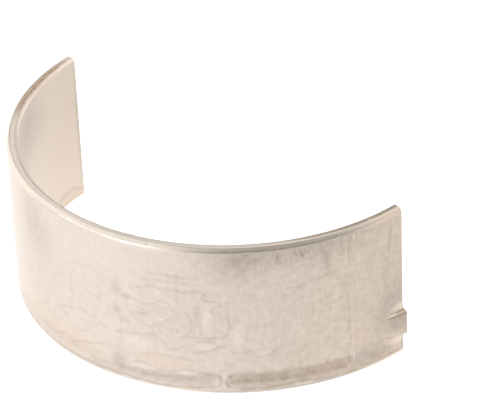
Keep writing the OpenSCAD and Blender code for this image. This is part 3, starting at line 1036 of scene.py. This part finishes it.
        share = np.full(len(outline), self.share_beyond)
        share[side == 1] = self.grid_lines()[3]
        near_tang = from_tang * self.back_radius < self.tang_length
        raised = np.where(near_tang, np.clip(1 - share, 0, 1), 0.0)
        outer = np.clip(1 - (self.back_radius - outline[:, 0]) / self.back_chamfer, 0, 1) * (1 - raised)
        edge = self.fine_round + outer * (self.parting_round - self.fine_round)
        end_gap = np.minimum(from_tang, turn[:, None] + self.end_turn) * self.back_radius
        lean = np.clip(1 - end_gap / edge, 0, 1)
        inset = edge * (1 - np.sqrt(1 - lean**2))
        radius = radius - inset * normal[None, :, 0]
        z = z - inset * normal[None, :, 1]

        a = np.broadcast_to(turn[:, None], radius.shape)
        points = np.stack([radius * np.sin(a), -radius * np.cos(a), z], axis=2)
        arc = a * self.back_radius / MM
        seconds = {
            Place.STRIP: z / MM,
            Place.RIM: (self.back_radius - radius) / MM,
            Place.TANG: np.where(near_tang, share[None, :], self.share_beyond),
        }
        pairs = {place: np.stack([arc, second, 0 * arc], axis=2) for place, second in seconds.items()}
        return points, pairs

    def faces(self, rows: int, columns: int) -> tuple[np.ndarray, np.ndarray]:
        """Joins the grid's points to quads, closed round the section and capped at both ends.

        A cap is a ladder from each point of the back to the point across the wall from it.

        Args:
            rows: Number of stations.
            columns: Number of points round the section.

        Returns:
            Quads as indices of points, and the skin of each quad.
        """
        i, k = np.meshgrid(np.arange(rows - 1), np.arange(columns), indexing="ij")
        here, ahead = i * columns, (i + 1) * columns
        k_next = (k + 1) % columns
        wall = np.stack([here + k, ahead + k, ahead + k_next, here + k_next], axis=2).reshape(-1, 4)

        rungs = columns // 2
        up = np.arange(rungs - 1)
        across = columns - 1 - up
        ladder = np.stack([up, up + 1, across - 1, across], axis=1)
        caps = np.concatenate([ladder, ladder[:, ::-1] + (rows - 1) * columns])

        corner = self.corner_steps + 1
        share = self.grid_lines()[3]
        lines = len(share)
        skin = np.full((rows - 1, columns), Skin.EDGE.value)
        skin[:, 2 * corner - 1 : 2 * corner + lines] = Skin.BACK.value
        skin[:, 6 * corner + lines - 1 : 6 * corner + 2 * lines] = Skin.BORE.value
        middle = (share[1:] + share[:-1]) / 2
        sheared = 2 * corner + np.flatnonzero((middle > 0) & (middle < 1))
        from_tang = (self.end_turn - self.stations()[:-1]) * self.back_radius
        skin[np.ix_(from_tang < self.tang_length, sheared)] = Skin.SHEAR.value
        skins = np.concatenate([skin.reshape(-1), np.full(len(caps), Skin.EDGE.value)])
        return np.concatenate([wall, caps]), skins

    def build(self) -> bpy.types.Object:
        """Makes the shell's mesh object.

        Returns:
            The object, at the origin, with a place attribute for every kind of place.
        """
        points, places = self.points()
        quads, skins = self.faces(*points.shape[:2])
        mesh = bpy.data.meshes.new("dressed_shell")
        mesh.from_pydata(points.reshape(-1, 3).tolist(), [], quads.tolist())
        mesh.polygons.foreach_set("material_index", skins.astype(np.int32))
        mesh.polygons.foreach_set("use_smooth", np.ones(len(quads), bool))
        for place, values in places.items():
            attribute = mesh.attributes.new(place.value[0], "FLOAT_VECTOR", "POINT")
            attribute.data.foreach_set("vector", values.reshape(-1).astype(np.float32))
        mesh.set_sharp_from_angle(angle=self.sharp_angle)
        mesh.update()
        return scene_object("dressed_shell", mesh)

    def dress(self, shell: bpy.types.Object) -> None:
        """Gives the shell its finishes, in the order of its skins.

        Args:
            shell: The object that build() made.
        """
        finishes = {
            Skin.BACK: TINNED_STEEL,
            Skin.BORE: BORED_LINING,
            Skin.EDGE: MACHINED_EDGE,
            Skin.SHEAR: SHEARED_STEEL,
        }
        for skin in Skin:
            shell.data.materials.append(finishes[skin].material())


@dataclass(frozen=True)
class Panel:
    """A soft light: a panel that faces the origin, square unless it has a height of its own.

    Its power is its radiance times pi times its area.
    """

    name: str
    place: tuple[float, float, float]
    side: float
    radiance: float
    height: float = 0.0

    def build(self) -> bpy.types.Object:
        """Makes the panel's light, turned to the origin.

        Returns:
            The light's object.
        """
        light = bpy.data.lights.new(self.name, "AREA")
        light.shape = "RECTANGLE"
        light.size = self.side
        light.size_y = self.height or self.side
        light.energy = self.radiance * math.pi * light.size * light.size_y
        lamp = scene_object(self.name, light)
        lamp.location = self.place
        lamp.rotation_euler = Vector(self.place).to_track_quat("Z", "Y").to_euler()
        return lamp


@dataclass(frozen=True)
class Studio:
    """The pale floor, the soft light, and the camera where the photograph was taken from.

    Lengths are in metres. The floor glows of itself: its glow falls towards +X over one span, and a
    painted shade on it grows towards +Y over the other.
    """

    floor_z: float
    azimuth: float = math.radians(44.30)
    elevation: float = math.radians(32.68)
    roll: float = math.radians(-2.54)
    distance: float = 387.2 * MM
    aim_right: float = 0.175 * MM
    aim_up: float = -0.884 * MM
    focal_px: float = 3134.4
    sensor: float = 36.0
    clip_start: float = 10 * MM
    floor_side: float = 4.0
    floor_colour: str = "6E6E6E"
    floor_roughness: float = 0.8
    floor_gloss: float = 0.1
    floor_glow: Pair = (1.42, 1.0)
    glow_span: Pair = (-10 * MM, 60 * MM)
    # Painted shade that dims the floor's glow towards +Y.
    glow_loss: float = 0.28
    loss_span: Pair = (-8 * MM, 22 * MM)
    sky: float = 0.6
    panels: tuple[Panel, ...] = (
        Panel("key_panel", (-0.567, -0.207, 0.392), 0.95, 1.05),
        Panel("front_panel", (-0.038, -0.429, 0.552), 0.42, 0.62),
        Panel("back_panel", (-0.12, 0.60, 0.45), 1.25, 0.66),
        Panel("side_panel", (0.43, 0.36, 0.455), 0.5, 0.55),
        Panel("low_panel", (-0.231, -0.635, 0.181), 0.62, 1.7, 0.36),
        Panel("low_front_panel", (0.161, -0.646, 0.216), 0.26, 0.4, 0.46),
        Panel("low_side_panel", (0.661, 0.177, 0.146), 0.5, 0.75, 0.3),
    )

    def camera(self) -> bpy.types.Object:
        """Makes the camera: on the line of sight, rolled a little, with a long lens.

        Returns:
            The camera's object.
        """
        az, el, roll = self.azimuth, self.elevation, self.roll
        back = Vector((math.sin(az) * math.cos(el), -math.cos(az) * math.cos(el), math.sin(el)))
        level = Vector((math.cos(az), math.sin(az), 0.0))
        upright = back.cross(level)
        right = math.cos(roll) * level + math.sin(roll) * upright
        up = back.cross(right)
        place = back * self.distance + right * self.aim_right + up * self.aim_up
        data = bpy.data.cameras.new("photo_camera")
        data.sensor_fit = "HORIZONTAL"
        data.sensor_width = self.sensor
        data.lens = self.focal_px * self.sensor / PHOTO_WIDTH_PX
        data.clip_start = self.clip_start
        camera = scene_object("photo_camera", data)
        turned = Matrix((right, up, back)).transposed().to_4x4()
        camera.matrix_world = Matrix.Translation(place) @ turned
        bpy.context.scene.camera = camera
        return camera

    def floor(self) -> bpy.types.Object:
        """Makes the floor: a square of grey glass that glows of itself, a little more on the left, with
        a painted shade that dims its glow towards +Y.

        Returns:
            The floor's object.
        """
        half = self.floor_side / 2
        corners = np.array([(-1, -1), (1, -1), (1, 1), (-1, 1)]) * half
        places = np.column_stack([corners, np.full(4, self.floor_z)])
        mesh = bpy.data.meshes.new("floor")
        mesh.from_pydata(places.tolist(), [], [(0, 1, 2, 3)])
        glass = bpy.data.materials.new("glowing_floor_glass")
        tree = bare_tree(glass)
        place = add_node(tree, "TexCoord", {}, "Object")
        across = add_node(tree, "SeparateXYZ", {0: place}, "X")
        fall = {"Value": across, "From Min": self.glow_span[0], "From Max": self.glow_span[1],
                "To Min": self.floor_glow[0], "To Max": self.floor_glow[1]}
        glow = add_node(tree, "MapRange", fall, interpolation_type="SMOOTHSTEP")
        # Painted shade on the floor's glow, growing towards +Y.
        behind = add_node(tree, "SeparateXYZ", {0: place}, "Y")
        growth = {"Value": behind, "From Min": self.loss_span[0], "From Max": self.loss_span[1],
                  "To Max": self.glow_loss}
        loss = add_node(tree, "MapRange", growth, interpolation_type="SMOOTHSTEP")
        glow = add_node(tree, "Math", {0: glow, 1: loss}, operation="SUBTRACT")
        glow = add_node(tree, "Math", {0: glow, 1: self.floor_glow[1]}, operation="MAXIMUM")
        look = {"Base Color": linear(self.floor_colour), "Roughness": self.floor_roughness,
                "Specular IOR Level": self.floor_gloss, "Emission Color": linear(WHITE),
                "Emission Strength": glow}
        sheet = add_node(tree, "BsdfPrincipled", look)
        add_node(tree, "OutputMaterial", {"Surface": sheet})
        mesh.materials.append(glass)
        return scene_object("floor", mesh)

    def light(self) -> None:
        """Makes the even sky and the panels."""
        world = bpy.data.worlds.new("soft_sky")
        tree = bare_tree(world)
        sky = add_node(tree, "Background", {"Color": linear(WHITE), "Strength": self.sky})
        add_node(tree, "OutputWorld", {"Surface": sky})
        bpy.context.scene.world = world
        for panel in self.panels:
            panel.build()
        bpy.context.scene.view_settings.view_transform = "Standard"
        bpy.context.scene.view_settings.look = "None"


def main() -> None:
    """Loads the frame, dresses the shell and sets up the studio."""
    logging.basicConfig(level=logging.INFO, format="%(name)s: %(message)s")
    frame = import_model()

    design = BearingShell.from_frame(frame)
    shell = design.build()
    design.dress(shell)
    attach(shell, "root")
    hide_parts("bearing_shell")
    LOG.info("%s has %d quads", shell.name, len(shell.data.polygons))

    studio = Studio(floor_z=-design.half_width)
    studio.floor()
    studio.light()
    LOG.info("%s is in place", studio.camera().name)


if __name__ == "__main__":
    main()
